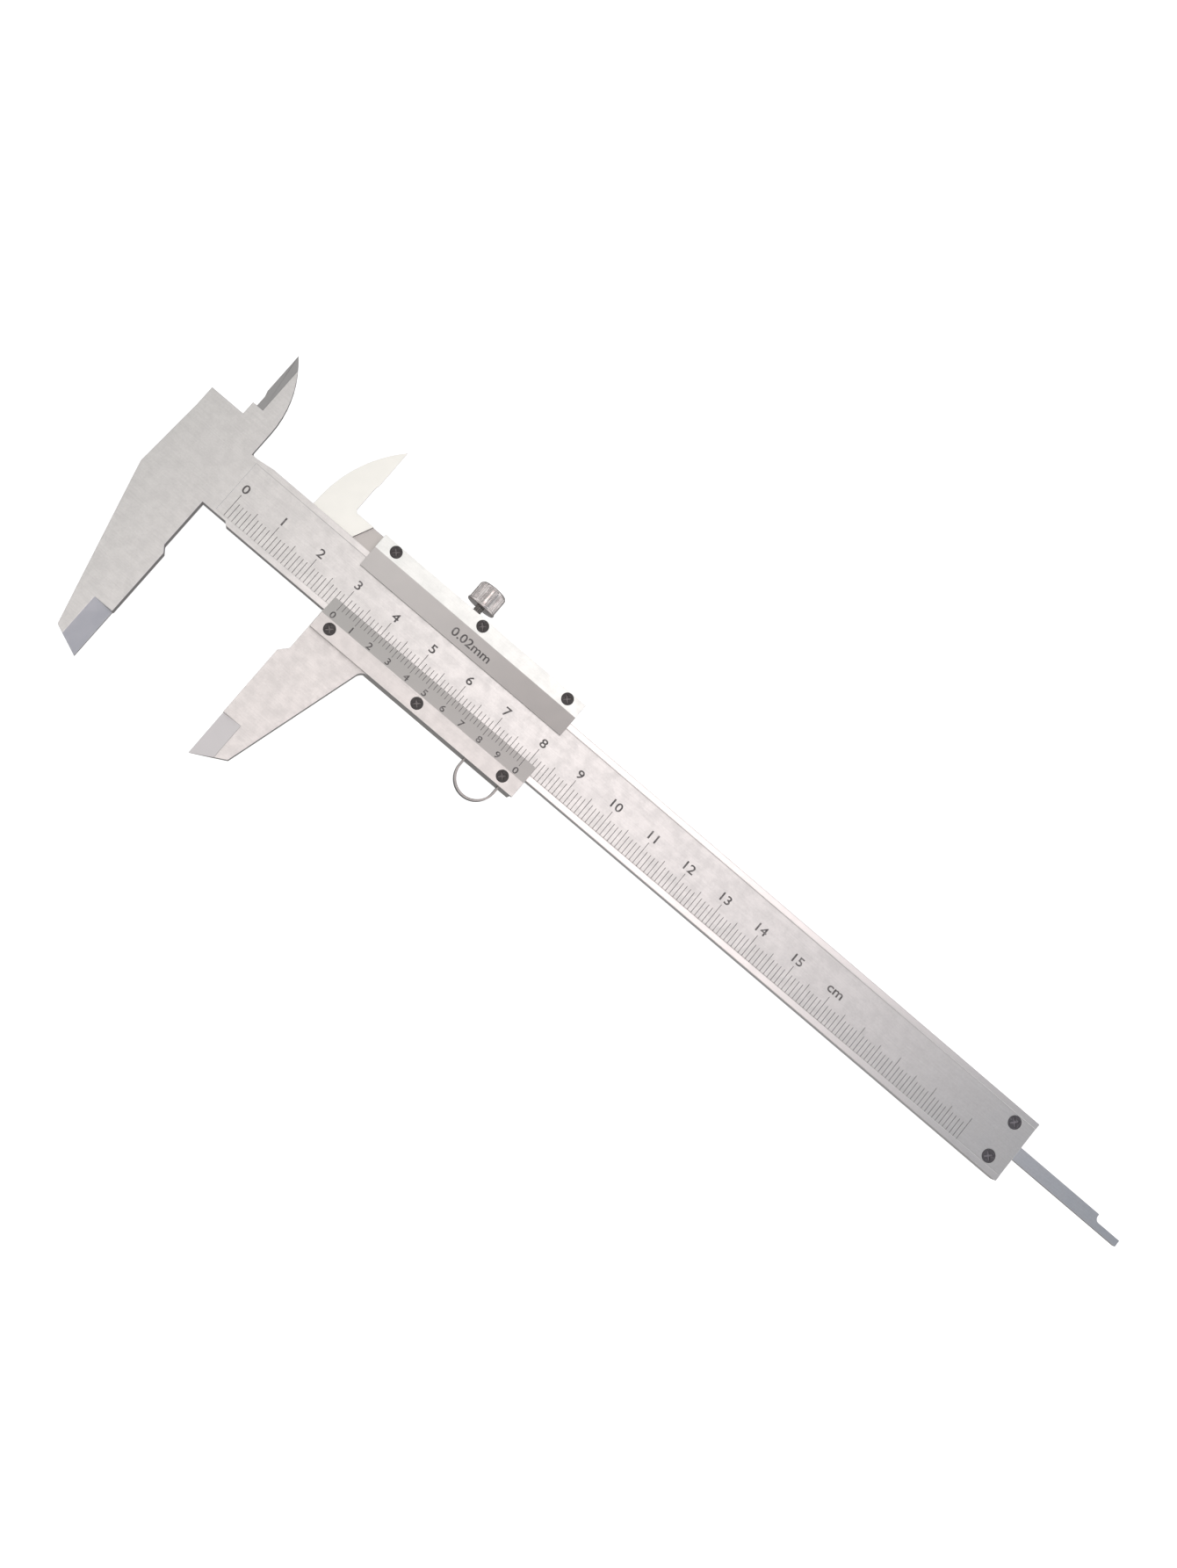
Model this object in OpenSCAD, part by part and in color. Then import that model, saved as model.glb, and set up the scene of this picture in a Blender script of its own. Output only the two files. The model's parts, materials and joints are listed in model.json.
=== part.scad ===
// Vernier caliper for lengths up to 150 mm, read to 0.02 mm on a 49 mm vernier.
// All modules are drawn with the jaws closed, in the beam's own frame: X runs along the beam from
// the fixed measuring face, Y across it from its centre line towards the inside jaws, and Z is up
// from its middle plane towards the scale. in_part_frame() then moves the origin to the centre of
// the fixed outside measuring face, and on_slider() opens the jaws by the reading.

/* [Reading] */
// Distance between the two outside measuring faces
reading = 30; // [0:0.02:150]

/* [Beam] */
// Width across the two sliding edges
beam_w = 15.2; // [14.6:0.1:15.6]
// Thickness of the beam and of the outside jaws
beam_t = 3.8; // [3.6:0.1:4.2]
// Distance from the fixed measuring face to the far end
beam_end = 216.3; // [214:0.1:225]
// Width of the ground land along each edge of the scale
land_w = 1.35; // [1:0.05:1.6]
// Depth of the scale face below the two lands
scale_recess = 0.15; // [0.05:0.05:0.3]

/* [Outside jaws] */
// Reach of the fixed jaw from the beam's centre line to its tip
outside_reach = 47.6; // [44:0.1:50]
// Distance from the centre line at which the measuring face begins
face_start = 20.1; // [19:0.1:22]
// Width of the thinned strip along the measuring edge at the tip
tip_bevel_w = 4.6; // [3:0.1:5]
// Depth taken off each side at the measuring edge
tip_bevel_depth = 1.4; // [0.5:0.1:1.5]

/* [Inside jaws] */
// Distance from the centre line to the fixed knife's tip
inside_reach = 29.2; // [27:0.1:31]
// Distance of both knife edges behind the fixed outside measuring face
knife_x = 6.3; // [5.8:0.1:6.5]

/* [Slider] */
// Length of the slider's body
slider_l = 53.9; // [52:0.1:54]
// Outer edge of the lower rail, below the centre line
lower_edge = 12.2; // [12:0.1:13]
// Outer edge of the upper rail, above the centre line
upper_edge = 12.3; // [12:0.1:13]
// Thickness of the wall behind the beam
back_wall = 2.6; // [2:0.05:3]
// Running clearance between the slider and the beam
play = 0.03; // [0.02:0.01:0.08]

/* [Plates] */
// Thickness of the vernier plate and the upper plate
plate_t = 1.45; // [1.2:0.05:1.8]
// Distance from the centre line to the edge of each plate that borders the window
window = 4.2; // [3.8:0.1:4.6]
// Diameter of the plate screws' heads
plate_screw_d = 2.6; // [2.2:0.1:2.8]

/* [Depth rod] */
// Width of the depth rod
rod_w = 3.2; // [2.8:0.1:3.6]
// Thickness of the depth rod
rod_t = 1.6; // [1.2:0.1:1.7]

/* [Lock screw] */
// Diameter of the knob over its ribs
knob_d = 6.8; // [5:0.1:6.8]
// Height of the knob
knob_h = 4.9; // [4:0.1:6]
// Number of grooves round the knob
knob_grooves = 14; // [8:1:18]
// Diameter of the threaded stem
stem_d = 2; // [1.6:0.1:2.2]

/* [Thumb ring] */
// Outer diameter of the half ring
ring_d = 9.6; // [8:0.1:11]
// Thickness of its strip
ring_strip_t = 0.5; // [0.4:0.05:0.8]
// Width of its strip
ring_strip_w = 3; // [2:0.1:3.4]

/* [Hidden] */

$fn = 64;
eps = 0.01;
far = 100;

half_w = beam_w / 2;
half_t = beam_t / 2;
face_mid = (face_start + outside_reach) / 2;
scale_z = half_t - scale_recess;

// Beam, head and fixed jaws
head_left = -14.9;
head_top = 12.3;
jaw_vertex = [-15.8, -8.7];
fixed_heel = [-6.5, -44.8];
face_relief = 1;
corner_relief = [5, -6.95];
tip_bevel_start = 35.8;
scale_start = 2;
// Half of the gap between the flats of the two inside jaws, which pass each other
blade_gap = 0.05;
knife_land = 0.15;
fixed_back_x = 0.15;
fixed_back_r = 23.6;
fixed_back_y = 13;
shoulder_y = 15.45;
fixed_bevel_x = -4.1;
fixed_neck_x = 0.4;
fixed_neck_y = [18.2, 19.4];
// Step of the beam's upper edge beside the head
edge_step = 0.55;
edge_step_x = [1.6, 5.5];

// Groove for the depth rod in the beam's back
groove_start = 38;
groove_w = rod_w + 0.2;
groove_depth = 1.9;

// Slider
slider_x = 1.7;
slider_end = slider_x + slider_l;
upper_rail_end = slider_end - 0.2;
rail_front = half_t + 0.05;
back_z = -half_t - play - back_wall;
jaw_root_x = 15.9;
moving_heel = [7.1, -43.8];
moving_tip_y = -47.7;
jaw_recess_x = slider_x;
jaw_recess_y = -18.2;
jaw_fillet = 2;
moving_bevel_start = 36.8;
moving_knife_tip = 28.9;
moving_neck_x = 0.3;
moving_neck_y = [18.8, 19.7];
moving_bevel_w = 2.2;
moving_back_x = -14.16;
moving_back_r = 29.1;
moving_back_y = 9;
// Slanted edge of the pocket between the moving inside jaw and the upper rail
pocket_edge = [[-3.8, 7.6], [-1.6, 12.4]];
pocket_z = -0.9;
pocket_end = 1.4;
ring_slack = 0.03;

// Plates, each with a slope from its thin edge beside the window to its full thickness
upper_plate_x = 1.4;
upper_edge_t = 0.45;
upper_slope_start = 8.9;
vernier_plate_x = 1.9;
vernier_edge_t = 0.2;
vernier_slope_start = 8.45;
plate_l = 54.1;
plate_top = rail_front + plate_t;
screw_x = [5.4, 28.7, 51.7];
upper_screw_y = 10.85;
lower_screw_y = -10.15;
plate_shank_r = 0.8;
plate_screw_l = 4.7;
screw_slack = 0.02;

// End stop
stop_x = 207.2;
stop_w = 13;
stop_t = 1.2;
end_screw_x = 211.8;
end_screw_y = 4.5;
end_head_r = 1.5;
end_shank_r = 0.85;
end_screw_l = 4.6;

// Depth rod, whose far end is level with the beam's end when the jaws are closed
rod_start = 39;
rod_foot_l = 8;
rod_front = -0.2;
rod_tip_l = 7;
rod_tip_w = rod_w / 2 + 0.05;
rod_fillet = 1;
rod_screw_x = [41, 45];
rod_head_r = 1.1;
rod_shank_r = 0.6;
rod_screw_l = 3.7;

// Leaf spring in its pocket in the upper rail
spring_pocket = [4, 53];
spring_pocket_top = 8.45;
spring_t = 0.3;
spring_w = 3.2;
spring_low = half_w + 0.05;

// Lock screw
lock_x = 25.7;
knob_y = 14;
shoe_gap = 0.25;
shoe_y = spring_low + spring_t + shoe_gap;
shoe_h = 0.6;
stem_clearance = 0.04;
stem_bore_r = stem_d / 2 + stem_clearance;
stem_in_knob = 3;

// Thumb ring
ring_x = 48.1;
ring_y = -13.6;
ring_z = -0.8;
ring_seat = 0.8;

// Places the children in the part's frame, with its origin on the fixed outside measuring face.
module in_part_frame() {
    translate([0, face_mid, 0]) children();
}

// Moves the slider's pieces out along the beam by the reading.
module on_slider() {
    in_part_frame() translate([reading, 0, 0]) children();
}

// A box between two opposite corners.
module block(low, high) {
    translate(low) cube(high - low);
}

// Extrudes an XY outline between two heights.
module slab(z0, z1) {
    translate([0, 0, z0]) linear_extrude(z1 - z0) children();
}

// Extrudes a YZ outline along X.
module along_x(x0, x1) {
    translate([x0, 0, 0]) rotate([90, 0, 90]) linear_extrude(x1 - x0) children();
}

// Extrudes an XZ outline along Y.
module along_y(y0, y1) {
    translate([0, y1, 0]) rotate([90, 0, 0]) linear_extrude(y1 - y0) children();
}

// A countersunk screw's outside, or its hole when slack is given, with its head's top at z = 0.
module countersunk(head_r, shank_r, length, slack = 0) {
    land = 0.25;
    rotate_extrude() polygon([
        [0, slack],
        [head_r + slack, slack],
        [head_r + slack, -land],
        [shank_r + slack, -land - (head_r - shank_r)],
        [shank_r + slack, -length - slack],
        [0, -length - slack]
    ]);
}

// A countersunk screw with a cross recess.
module cross_screw(head_r, shank_r, length) {
    slot_l = 1.35 * head_r;
    slot_w = 0.28 * head_r;
    slot_depth = 0.35 * head_r;
    difference() {
        countersunk(head_r, shank_r, length);
        for (angle = [45, 135]) rotate(angle) block(
            [-slot_l / 2, -slot_w / 2, -slot_depth],
            [slot_l / 2, slot_w / 2, 1]
        );
    }
}

// Section of the wedge that thins an outside jaw on one face, from nothing to a depth at the edge.
module wedge_section(side, face, depth) {
    overrun = 1;
    polygon([
        [-side * tip_bevel_w, face * (half_t + 1)],
        [-side * tip_bevel_w, face * half_t],
        [side * overrun, face * (half_t - depth * (1 + overrun / tip_bevel_w))],
        [side * overrun, face * (half_t + 1)]
    ]);
}

// The wedges that thin an outside jaw along its measuring edge, on both faces, behind a steep ledge.
// side is 1 for the fixed jaw, whose metal lies towards -X, and -1 for the moving jaw.
module tip_wedges(side, start) {
    ledge_run = 0.25;
    for (face = [1, -1]) hull() {
        along_y(-far, -start - ledge_run) wedge_section(side, face, tip_bevel_depth);
        along_y(-start - eps, -start) wedge_section(side, face, 0);
    }
}

// Outline of the beam, the head and the fixed outside jaw at full thickness.
module beam_outline() {
    polygon([
        [head_left, half_w],
        jaw_vertex,
        fixed_heel,
        [0, -outside_reach],
        [0, -face_start],
        [-face_relief, -face_start + 1.4],
        [-face_relief, corner_relief.y],
        corner_relief,
        [corner_relief.x + 0.7, -half_w],
        [beam_end, -half_w],
        [beam_end, half_w],
        [edge_step_x[1], half_w],
        [edge_step_x[0], half_w - edge_step],
        [fixed_back_x, half_w - edge_step],
        [fixed_back_x, half_w]
    ]);
}

// Outline of the fixed inside jaw and the strip of the head that carries it.
module fixed_blade_outline() {
    intersection() {
        polygon([
            [head_left, half_w - 0.5],
            [head_left, head_top],
            [-knife_x - fixed_neck_x, head_top],
            [-knife_x - fixed_neck_x, shoulder_y],
            [-knife_x + fixed_neck_x, shoulder_y],
            [-knife_x + fixed_neck_x, fixed_neck_y[0]],
            [-knife_x, fixed_neck_y[1]],
            [-knife_x, inside_reach],
            [fixed_back_x, inside_reach],
            [fixed_back_x, half_w - 0.5]
        ]);
        union() {
            translate([fixed_back_x - fixed_back_r, fixed_back_y]) circle(fixed_back_r, $fn = 180);
            translate([-far, 0]) square([far + fixed_back_x, fixed_back_y]);
        }
    }
}

// Graduated beam with the head, the fixed outside jaw and the fixed inside jaw, in one piece.
module main_beam() {
    color([0.80, 0.80, 0.78]) difference() {
        union() {
            slab(-half_t, half_t) beam_outline();
            slab(blade_gap, half_t) fixed_blade_outline();
        }
        // Recessed scale face between the two lands
        block(
            [scale_start, -half_w + land_w, scale_z],
            [beam_end + 1, half_w - land_w, half_t + 1]
        );
        // Groove for the depth rod
        block([groove_start, -groove_w / 2, -half_t - 1], [beam_end + 1, groove_w / 2, groove_depth - half_t]);
        tip_wedges(1, tip_bevel_start);
        // Knife bevel of the inside jaw
        along_y(shoulder_y, far) polygon([
            [-knife_x - 1, half_t + 1],
            [-knife_x - 1, -half_t],
            [-knife_x, blade_gap + knife_land],
            [fixed_bevel_x, half_t],
            [fixed_bevel_x, half_t + 1]
        ]);
        for (side = [1, -1]) translate([end_screw_x, side * end_screw_y, scale_z])
            countersunk(end_head_r, end_shank_r, 2 * beam_t, screw_slack);
    }
}

// Plate on the back of the beam's end, which stops the slider and keeps the rod in its groove.
module end_stop_plate() {
    color([0.70, 0.70, 0.70]) difference() {
        block([stop_x, -stop_w / 2, -half_t - stop_t], [beam_end, stop_w / 2, -half_t]);
        for (side = [1, -1]) translate([end_screw_x, side * end_screw_y, scale_z])
            countersunk(end_head_r, end_shank_r, 2 * beam_t, screw_slack);
    }
}

module end_screw(side) {
    color([0.16, 0.16, 0.17]) translate([end_screw_x, side * end_screw_y, scale_z])
        cross_screw(end_head_r, end_shank_r, end_screw_l);
}

// Outline of the moving outside jaw, with the fillet at its root.
module moving_jaw_outline() {
    root = [jaw_root_x, -lower_edge];
    run = moving_heel - root;
    along = run / norm(run);
    half_angle = acos(along.x) / 2;
    reach = jaw_fillet / tan(half_angle);
    centre = root + [reach, -jaw_fillet];
    polygon([
        [jaw_recess_x, -half_w - play],
        [jaw_recess_x, jaw_recess_y],
        [0, -face_start],
        [0, moving_tip_y],
        moving_heel,
        root,
        [jaw_root_x, -half_w - play]
    ]);
    difference() {
        polygon([
            root - [0.5, 0],
            root + [reach, 0],
            centre,
            root + along * reach
        ]);
        translate(centre) circle(jaw_fillet);
    }
}

// Outline of the moving inside jaw and of the strip that joins it to the upper rail.
module moving_blade_outline() {
    intersection() {
        polygon([
            [moving_back_x, half_w + play],
            [moving_back_x, moving_knife_tip],
            [-knife_x, moving_knife_tip],
            [-knife_x, moving_neck_y[1]],
            [-knife_x - moving_neck_x, moving_neck_y[0]],
            [-knife_x - moving_neck_x, upper_edge + 0.4],
            [-knife_x + 0.2, upper_edge],
            [slider_x + 1, upper_edge],
            [slider_x + 1, half_w + play]
        ]);
        union() {
            translate([moving_back_x + moving_back_r, moving_back_y]) circle(moving_back_r, $fn = 180);
            translate([moving_back_x, 0]) square([far, moving_back_y]);
        }
    }
}

// Slider: two rails and a back wall round the beam, with the moving outside and inside jaws.
module slider_body() {
    color([0.84, 0.83, 0.81]) difference() {
        union() {
            block([slider_x, -lower_edge, back_z], [slider_end, -half_w - play, rail_front]);
            block([pocket_end, half_w + play, back_z], [upper_rail_end, upper_edge, rail_front]);
            block([slider_x, -half_w - 1, back_z], [upper_rail_end, half_w + 1, -half_t - play]);
            slab(-half_t, rail_front) moving_jaw_outline();
            slab(-half_t, -blade_gap) moving_blade_outline();
        }
        // Pocket beside the inside jaw's root
        slab(pocket_z, rail_front + 1) polygon([
            pocket_edge[0],
            pocket_edge[1],
            [pocket_end, pocket_edge[1].y],
            [pocket_end, pocket_edge[0].y]
        ]);
        tip_wedges(-1, moving_bevel_start);
        // Knife bevel of the inside jaw
        along_y(upper_edge + 0.4, far) polygon([
            [-knife_x + 1, half_t],
            [-knife_x, -blade_gap - knife_land],
            [-knife_x - moving_bevel_w, -half_t],
            [-knife_x - moving_bevel_w, -half_t - 1],
            [-knife_x + 1, -half_t - 1]
        ]);
        // Pocket for the leaf spring
        block(
            [spring_pocket[0], half_w - 1, -half_t],
            [spring_pocket[1], spring_pocket_top, rail_front + 1]
        );
        // Threaded bore for the lock screw, with its shoe in the inner end
        translate([lock_x, half_w + 0.5, 0]) rotate([-90, 0, 0]) cylinder(h = far, r = stem_bore_r);
        for (x = screw_x) {
            translate([x, upper_screw_y, plate_top])
                countersunk(plate_screw_d / 2, plate_shank_r, plate_screw_l, screw_slack);
            translate([x, lower_screw_y, plate_top])
                countersunk(plate_screw_d / 2, plate_shank_r, plate_screw_l, screw_slack);
        }
        for (x = rod_screw_x) translate([x, 0, back_z]) mirror([0, 0, 1])
            countersunk(rod_head_r, rod_shank_r, rod_screw_l, screw_slack);
        translate([ring_x, ring_y, 0]) ring_legs(ring_slack);
    }
}

// A front plate whose inner half slopes down to a thin edge beside the window.
// side is 1 above the centre line and -1 below it.
module front_plate(side, x0, outer_edge, slope_start, edge_t, screw_y) {
    difference() {
        along_x(x0, x0 + plate_l) polygon([
            [side * window, rail_front],
            [side * window, rail_front + edge_t],
            [side * slope_start, plate_top],
            [side * outer_edge, plate_top],
            [side * outer_edge, rail_front]
        ]);
        for (x = screw_x) translate([x, screw_y, plate_top])
            countersunk(plate_screw_d / 2, plate_shank_r, plate_screw_l, screw_slack);
    }
}

module vernier_plate() {
    color([0.78, 0.79, 0.77])
        front_plate(-1, vernier_plate_x, lower_edge, vernier_slope_start, vernier_edge_t, lower_screw_y);
}

module upper_plate() {
    color([0.80, 0.79, 0.78])
        front_plate(1, upper_plate_x, upper_edge, upper_slope_start, upper_edge_t, upper_screw_y);
}

module plate_screw(index, y) {
    color([0.16, 0.16, 0.17]) translate([screw_x[index], y, plate_top])
        cross_screw(plate_screw_d / 2, plate_shank_r, plate_screw_l);
}

// Bowed strip that presses the slider's lower rail up against the beam.
module leaf_spring() {
    middle = (spring_pocket[0] + spring_pocket[1]) / 2;
    half_l = (spring_pocket[1] - spring_pocket[0]) / 2 - 0.3;
    flat_l = 12;
    raised = spring_pocket_top - spring_t - 0.02;
    lower_line = [
        [middle - half_l, raised],
        [middle - flat_l, spring_low],
        [middle + flat_l, spring_low],
        [middle + half_l, raised]
    ];
    upper_line = [for (i = [len(lower_line) - 1 : -1 : 0]) lower_line[i] + [0, spring_t]];
    color([0.78, 0.62, 0.36]) slab(-spring_w / 2, spring_w / 2) polygon(concat(lower_line, upper_line));
}

// The two legs of the thumb ring, measured from the ring's centre, or their slots with slack.
module ring_legs(slack = 0) {
    leg_x = (ring_d - ring_strip_t) / 2;
    top = -lower_edge - ring_y + ring_seat + slack;
    for (side = [1, -1]) block(
        [side * leg_x - ring_strip_t / 2 - slack, 0, ring_z - ring_strip_w / 2 - slack],
        [side * leg_x + ring_strip_t / 2 + slack, top, ring_z + ring_strip_w / 2 + slack]
    );
}

// Half ring of bent strip under the slider for the thumb.
module thumb_ring() {
    color([0.72, 0.71, 0.70]) translate([ring_x, ring_y, 0]) {
        ring_legs();
        slab(ring_z - ring_strip_w / 2, ring_z + ring_strip_w / 2) difference() {
            circle(d = ring_d);
            circle(d = ring_d - 2 * ring_strip_t);
            translate([-far / 2, 0]) square(far);
        }
    }
}

// Depth rod, with a foot against the slider's back wall and a stepped tip.
module depth_rod() {
    tip_x = beam_end - rod_tip_l;
    tip_y = -rod_w / 2 + rod_tip_w;
    color([0.74, 0.75, 0.76]) difference() {
        union() {
            block([rod_start, -rod_w / 2, rod_front - rod_t], [beam_end, rod_w / 2, rod_front]);
            block(
                [rod_start, -rod_w / 2, -half_t - play],
                [rod_start + rod_foot_l, rod_w / 2, rod_front]
            );
        }
        slab(-far, far) {
            translate([tip_x + rod_fillet, tip_y]) square(far);
            translate([tip_x, tip_y + rod_fillet]) square(far);
            translate([tip_x + rod_fillet, tip_y + rod_fillet]) circle(rod_fillet);
        }
        for (x = rod_screw_x) translate([x, 0, back_z]) mirror([0, 0, 1])
            countersunk(rod_head_r, rod_shank_r, rod_screw_l, screw_slack);
    }
}

module depth_rod_screw(index) {
    color([0.16, 0.16, 0.17]) translate([rod_screw_x[index], 0, back_z]) mirror([0, 0, 1])
        cross_screw(rod_head_r, rod_shank_r, rod_screw_l);
}

// Places a piece that is turned about Z on the lock screw's axis, at a distance from the beam's centre line.
module on_lock_axis(y) {
    translate([lock_x, y, 0]) rotate([-90, 0, 0]) children();
}

// Loose brass disc between the lock screw's end and the leaf spring.
module lock_shoe() {
    color([0.80, 0.64, 0.34]) on_lock_axis(shoe_y) cylinder(h = shoe_h, r = stem_d / 2 - 0.02);
}

module lock_screw() {
    start = shoe_y + shoe_h + 0.02;
    color([0.70, 0.70, 0.70]) on_lock_axis(start)
        cylinder(h = knob_y + stem_in_knob - start, r = stem_d / 2);
}

// Knob with a thin flange on the slider's side, a rounded outer rim and grooves along its side.
module lock_knob() {
    groove_r = 0.32;
    flange_h = 0.6;
    chamfer = 0.15;
    rim_r = 1;
    radius = knob_d / 2;
    barrel_r = radius - 0.15;
    color([0.78, 0.76, 0.74]) on_lock_axis(knob_y) difference() {
        union() {
            rotate_extrude() polygon([
                [0, 0],
                [radius - chamfer, 0],
                [radius, chamfer],
                [radius, flange_h - chamfer],
                [radius - chamfer, flange_h],
                [0, flange_h]
            ]);
            difference() {
                rotate_extrude() {
                    square([barrel_r, knob_h - rim_r]);
                    square([barrel_r - rim_r, knob_h]);
                    translate([barrel_r - rim_r, knob_h - rim_r]) circle(rim_r);
                }
                for (i = [0 : knob_grooves - 1]) rotate(i * 360 / knob_grooves)
                    translate([barrel_r + 0.1, 0, -1]) cylinder(h = knob_h + 2, r = groove_r);
            }
        }
        translate([0, 0, -1]) cylinder(h = stem_in_knob + 1 + eps, r = stem_d / 2 + eps);
    }
}

in_part_frame() main_beam();
in_part_frame() end_stop_plate();
in_part_frame() end_screw(1);  // end_screw_1
in_part_frame() end_screw(-1);  // end_screw_2
on_slider() slider_body();
on_slider() vernier_plate();
on_slider() upper_plate();
on_slider() plate_screw(0, lower_screw_y);  // vernier_plate_screw_1
on_slider() plate_screw(1, lower_screw_y);  // vernier_plate_screw_2
on_slider() plate_screw(2, lower_screw_y);  // vernier_plate_screw_3
on_slider() plate_screw(0, upper_screw_y);  // upper_plate_screw_1
on_slider() plate_screw(1, upper_screw_y);  // upper_plate_screw_2
on_slider() plate_screw(2, upper_screw_y);  // upper_plate_screw_3
on_slider() leaf_spring();
on_slider() thumb_ring();
on_slider() depth_rod();
on_slider() depth_rod_screw(0);  // depth_rod_screw_1
on_slider() depth_rod_screw(1);  // depth_rod_screw_2
on_slider() lock_shoe();
on_slider() lock_screw();
on_slider() lock_knob();
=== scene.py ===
"""Looks for the vernier caliper: steel finishes, engraved scales, the lock screw's thread,
soft studio light and the camera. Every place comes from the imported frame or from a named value."""
import json
import math

import bmesh
import bpy
from mathutils import Euler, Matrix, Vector


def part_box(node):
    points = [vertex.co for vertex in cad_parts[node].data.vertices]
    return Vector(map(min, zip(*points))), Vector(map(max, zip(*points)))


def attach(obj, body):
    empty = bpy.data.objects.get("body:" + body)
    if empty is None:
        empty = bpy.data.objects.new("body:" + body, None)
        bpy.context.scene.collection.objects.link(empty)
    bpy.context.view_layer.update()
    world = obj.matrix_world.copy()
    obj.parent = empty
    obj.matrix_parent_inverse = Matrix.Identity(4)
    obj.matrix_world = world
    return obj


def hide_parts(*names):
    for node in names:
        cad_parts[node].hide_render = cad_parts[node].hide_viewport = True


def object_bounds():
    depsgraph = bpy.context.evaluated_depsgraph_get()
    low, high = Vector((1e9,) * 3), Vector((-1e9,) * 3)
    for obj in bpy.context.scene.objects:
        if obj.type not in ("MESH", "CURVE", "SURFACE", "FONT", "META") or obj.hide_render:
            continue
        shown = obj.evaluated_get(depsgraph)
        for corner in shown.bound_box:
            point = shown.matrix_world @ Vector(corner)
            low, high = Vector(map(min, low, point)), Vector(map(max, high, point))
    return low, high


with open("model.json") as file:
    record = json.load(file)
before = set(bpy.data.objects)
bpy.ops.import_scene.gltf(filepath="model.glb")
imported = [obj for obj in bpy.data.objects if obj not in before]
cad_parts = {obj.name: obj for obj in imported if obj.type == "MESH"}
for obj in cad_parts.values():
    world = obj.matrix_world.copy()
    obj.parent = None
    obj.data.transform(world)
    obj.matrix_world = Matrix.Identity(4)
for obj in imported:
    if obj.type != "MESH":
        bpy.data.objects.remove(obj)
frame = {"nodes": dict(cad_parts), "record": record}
cad_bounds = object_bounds()

MM = 0.001

# ---------------------------------------------------------------------------
# Layout, read from the frame
# ---------------------------------------------------------------------------
ROD_LOW, ROD_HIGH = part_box("depth_rod")
BEAM_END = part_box("main_beam")[1].x
VERNIER_TOP_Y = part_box("vernier_plate")[1].y
UPPER_LOW, UPPER_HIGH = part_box("upper_plate")
STEM_LOW, STEM_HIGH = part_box("lock_screw")

CENTRE_Y = (ROD_LOW.y + ROD_HIGH.y) / 2
# The end screws are flush with the scale face
SCALE_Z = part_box("end_screw_1")[1].z
PLATE_TOP = UPPER_HIGH.z
RAIL_FRONT = UPPER_LOW.z
MOUNTS = {mount["name"]: mount for mount in frame["record"]["mounts"]}
READING = MOUNTS["moving_outside_face"]["pos_m"][0]

# The beam's scale face and the two ground lands beside it
BEAM_HALF_W = 7.6 * MM
LAND_W = 1.35 * MM
LAND_START = 2 * MM

# Bevels of the two plates: where each ends, measured from the beam's centre line, and how thick
# its thin edge is
WINDOW = CENTRE_Y - VERNIER_TOP_Y
VERNIER_FLAT = 8.45 * MM
VERNIER_EDGE_T = 0.2 * MM
UPPER_FLAT = 8.9 * MM
UPPER_EDGE_T = 0.45 * MM

# ---------------------------------------------------------------------------
# Node helpers
# ---------------------------------------------------------------------------
# A colour Mix node's input sockets and its result, by number, because they share their names
MIX_FACTOR, MIX_FIRST, MIX_SECOND = 0, 6, 7
MIX_RESULT = 2


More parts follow.
